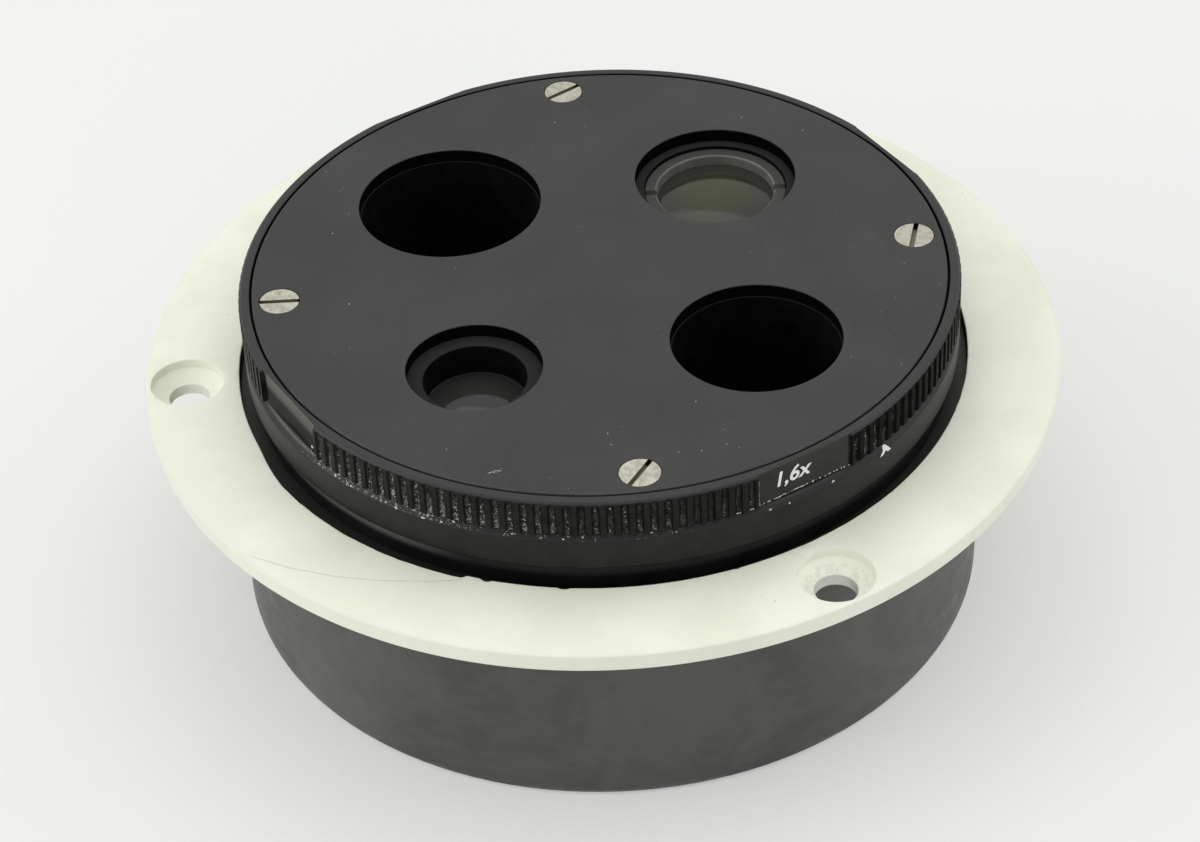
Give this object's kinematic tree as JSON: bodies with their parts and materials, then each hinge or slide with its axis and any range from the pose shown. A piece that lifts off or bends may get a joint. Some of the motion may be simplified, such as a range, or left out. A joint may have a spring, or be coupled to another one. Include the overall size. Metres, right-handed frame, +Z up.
{
  "type": "magnification changer turret",
  "caption": "Round microscope magnification changer: knurled rotating turret with lens and empty positions, click stop, on a screw-down flange over a drum housing.",
  "frame": {"origin": "centre of the drum's lower edge, on the turning axis", "axes": "+Z up along the turning axis, +X to the right and +Y away in the pictured view"},
  "size_m": [0.1284, 0.1284, 0.0493],
  "materials": {
    "drum_skin": "dark mottled grey, satin",
    "flange_paint": "cream paint, matte",
    "black_satin": "black anodised, satin",
    "plate_black": "black anodised, matte with fine grain",
    "tube_black": "black, deep matte",
    "bright_screw": "nickel plated",
    "machine_screw": "plain steel",
    "base_metal": "black anodised, satin",
    "carrier_metal": "black anodised, turned",
    "bearing_steel": "ground",
    "brass": "turned",
    "coated_glass": "polished, yellow-green coating"
  },
  "bodies": {
    "housing": {"drum_housing": "drum_skin", "mounting_flange": "flange_paint", "index_ring": "black_satin", "flange_screws": "machine_screw", "base_plate_screws": "machine_screw", "spindle_screws": "machine_screw", "base_plate": "base_metal", "bearing_spacer": "carrier_metal", "lower_inner_race": "bearing_steel", "upper_inner_race": "bearing_steel", "spindle": "bearing_steel", "spindle_washer": "bearing_steel", "spindle_nut": "bearing_steel", "detent_spring": "bearing_steel", "detent_adjuster": "bearing_steel", "detent_sleeve": "brass"},
    "turret": {"knurled_ring": "black_satin", "top_plate": "plate_black", "top_plate_screws": "bright_screw", "turret_carrier": "carrier_metal", "detent_disc": "brass", "detent_disc_screws": "machine_screw", "open_tube_large": "tube_black", "open_tube_small": "tube_black", "telescope_barrel": "tube_black", "telescope_upper_lens": "coated_glass", "telescope_upper_retainer": "tube_black", "telescope_lower_lens": "coated_glass", "telescope_lower_retainer": "tube_black", "reducer_barrel": "tube_black", "reducer_upper_lens": "coated_glass", "reducer_upper_retainer": "tube_black", "reducer_lower_lens": "coated_glass", "reducer_lower_retainer": "tube_black", "lower_outer_race": "bearing_steel", "upper_outer_race": "bearing_steel", "hub_circlip": "bearing_steel"},
    "ball_sets": {"lower_bearing_balls": "bearing_steel", "upper_bearing_balls": "bearing_steel", "lower_bearing_cage": "brass", "upper_bearing_cage": "brass"},
    "plunger": {"detent_plunger": "bearing_steel"}
  },
  "joints": [
    {"name": "turret_spin", "type": "hinge", "parent": "housing", "child": "turret", "pos_m": [0, 0, 0], "axis": [0, 0, 1], "continuous": true},
    {"name": "ball_sets_spin", "type": "hinge", "parent": "housing", "child": "ball_sets", "pos_m": [0, 0, 0], "axis": [0, 0, 1], "continuous": true},
    {"name": "plunger_slide", "type": "slide", "parent": "housing", "child": "plunger", "axis": [0, 1, 0], "range_m": [0, 0.0012], "stiffness_N_per_m": 1500, "springref_m": -0.0012, "deforming": ["detent_spring"]}
  ],
  "couplings": [
    {"joint": "ball_sets_spin", "follows": "turret_spin", "ratio": 0.58207}
  ]
}
